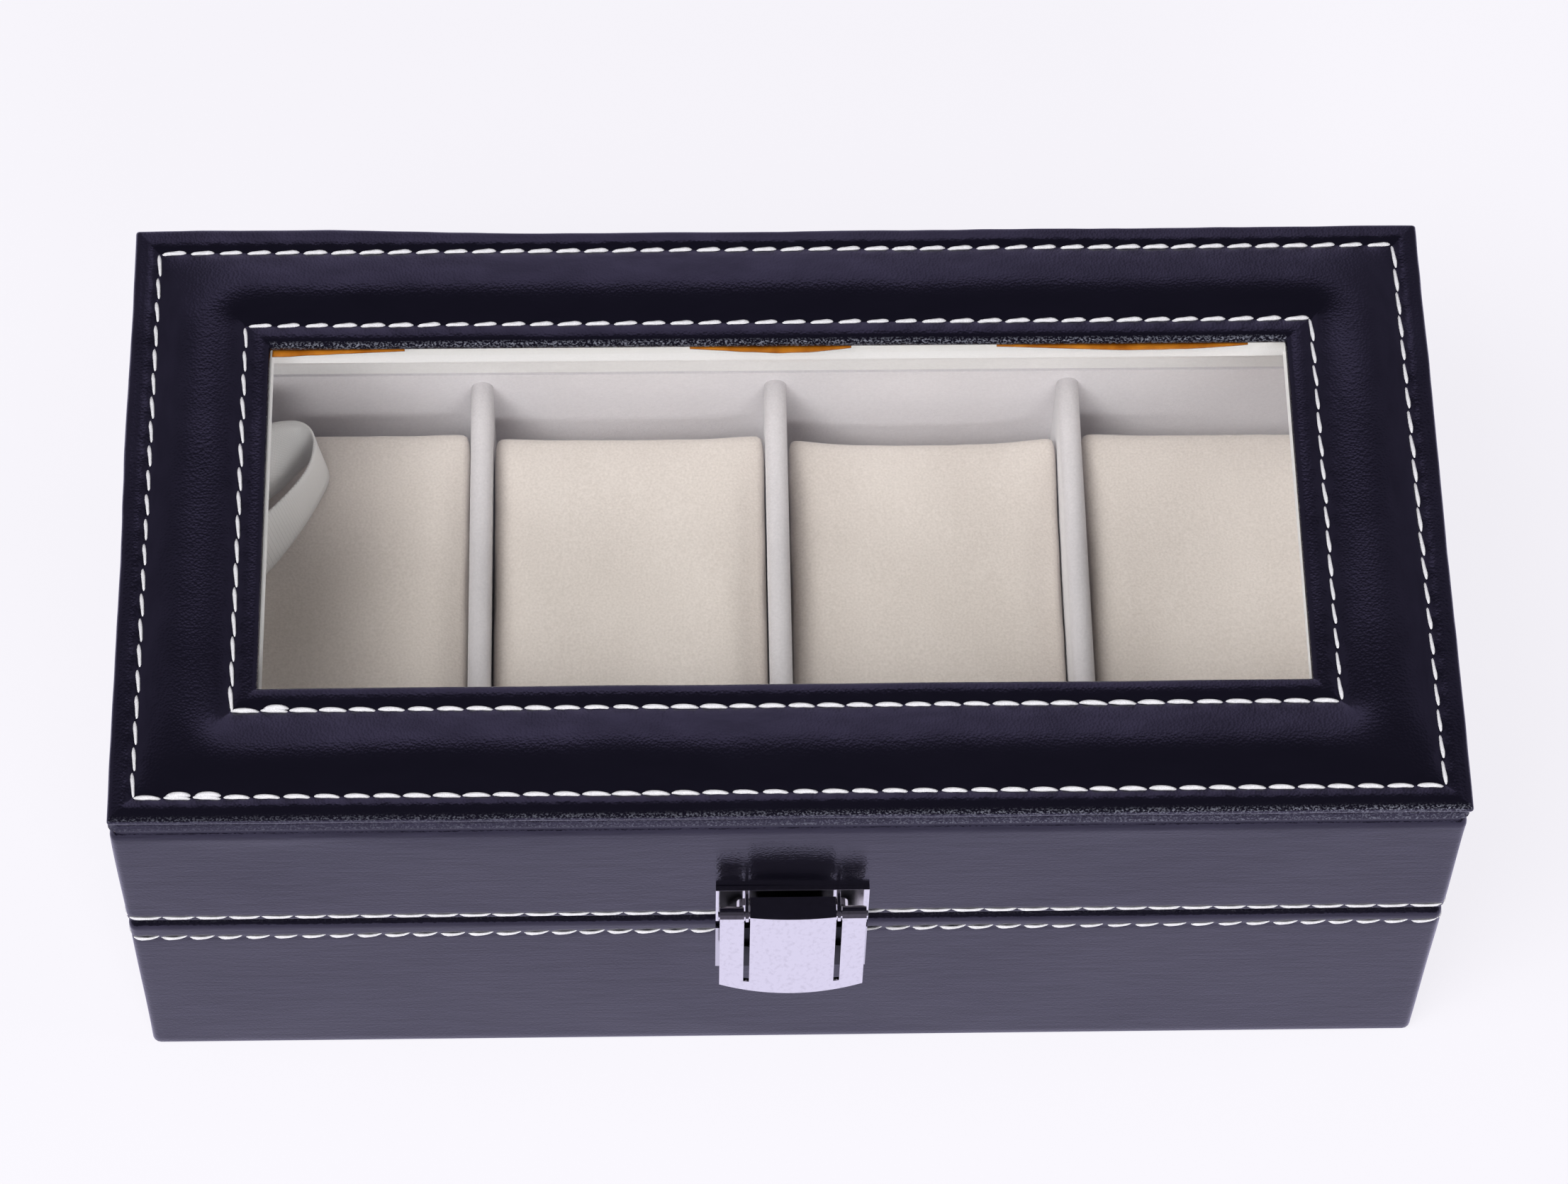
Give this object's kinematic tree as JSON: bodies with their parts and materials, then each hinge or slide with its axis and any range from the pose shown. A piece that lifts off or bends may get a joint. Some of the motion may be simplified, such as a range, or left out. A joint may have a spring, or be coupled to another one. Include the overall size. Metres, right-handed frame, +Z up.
{
  "type": "watch box",
  "caption": "Rectangular leather-covered watch box with a padded, stitched, glazed lid on hinges, a chrome flap clasp and velvet compartments with lift-out watch pillows.",
  "frame": {"origin": "centre of the box's felt bottom face, on the table", "axes": "+X along the box to the right as seen from the front, +Y from the clasp to the hinges, +Z up"},
  "size_m": [0.2004, 0.1126, 0.0768],
  "materials": {
    "fibreboard": "raw fibreboard, hidden",
    "black_leather": "black leatherette, fine grain, satin",
    "grey_velvet": "short grey-white velvet on card",
    "cream_velvet": "short cream velvet",
    "beige_suede": "beige suede cloth",
    "soft_foam": "soft foam, hidden",
    "grey_card": "stiff card, hidden",
    "black_felt": "thin black felt",
    "satin_ribbon": "off-white satin ribbon",
    "window_glass": "clear float glass",
    "chrome_plate": "polished chrome plate on steel"
  },
  "bodies": {
    "base": {"base_front_wall": "fibreboard", "base_front_lining": "grey_velvet", "base_rear_wall": "fibreboard", "base_rear_lining": "grey_velvet", "base_left_wall": "fibreboard", "base_left_lining": "grey_velvet", "base_right_wall": "fibreboard", "base_right_lining": "grey_velvet", "base_bottom_board": "fibreboard", "base_leather": "black_leather", "base_felt": "black_felt", "base_floor_lining": "grey_velvet", "stay_ribbon": "satin_ribbon", "divider_1": "grey_velvet", "divider_2": "grey_velvet", "divider_3": "grey_velvet", "hinge_left_base_leaf": "chrome_plate", "hinge_left_pin": "chrome_plate", "hinge_right_base_leaf": "chrome_plate", "hinge_right_pin": "chrome_plate", "clasp_catch": "chrome_plate", "hinge_base_screws": "chrome_plate", "clasp_catch_screws": "chrome_plate"},
    "lid": {"lid_front_rail": "fibreboard", "lid_front_lining": "cream_velvet", "lid_rear_rail": "fibreboard", "lid_rear_lining": "cream_velvet", "lid_left_rail": "fibreboard", "lid_left_lining": "cream_velvet", "lid_right_rail": "fibreboard", "lid_right_lining": "cream_velvet", "lid_top_board": "fibreboard", "lid_leather": "black_leather", "panel_leather": "black_leather", "lid_ceiling_lining": "cream_velvet", "window_glass": "window_glass", "panel_card": "grey_card", "panel_foam": "soft_foam", "hinge_left_lid_leaf": "chrome_plate", "hinge_right_lid_leaf": "chrome_plate", "hinge_lid_screws": "chrome_plate", "clasp_bracket": "chrome_plate", "clasp_bracket_screws": "chrome_plate", "clasp_pin": "chrome_plate"},
    "clasp_flap": {"clasp_flap": "chrome_plate"},
    "pillow_1": {"pillow_1_cover": "beige_suede", "pillow_1_core": "soft_foam"},
    "pillow_2": {"pillow_2_cover": "beige_suede", "pillow_2_core": "soft_foam"},
    "pillow_3": {"pillow_3_cover": "beige_suede", "pillow_3_core": "soft_foam"},
    "pillow_4": {"pillow_4_cover": "beige_suede", "pillow_4_core": "soft_foam"}
  },
  "joints": [
    {"name": "lid_hinge", "type": "hinge", "parent": "base", "child": "lid", "pos_m": [0, 0.05345, 0.04255], "axis": [-1, 0, 0], "range_deg": [0, 105], "deforming": ["stay_ribbon"]},
    {"name": "clasp_flap_hinge", "type": "hinge", "parent": "lid", "child": "clasp_flap", "pos_m": [0.0006, -0.05585, 0.0515], "axis": [-1, 0, 0], "range_deg": [0, 100]},
    {"name": "pillow_1_lift", "type": "slide", "parent": "base", "child": "pillow_1", "axis": [0, 0, 1], "range_m": [0, 0.03], "deforming": ["stay_ribbon"]},
    {"name": "pillow_2_lift", "type": "slide", "parent": "base", "child": "pillow_2", "axis": [0, 0, 1], "range_m": [0, 0.03]},
    {"name": "pillow_3_lift", "type": "slide", "parent": "base", "child": "pillow_3", "axis": [0, 0, 1], "range_m": [0, 0.03]},
    {"name": "pillow_4_lift", "type": "slide", "parent": "base", "child": "pillow_4", "axis": [0, 0, 1], "range_m": [0, 0.03]}
  ]
}
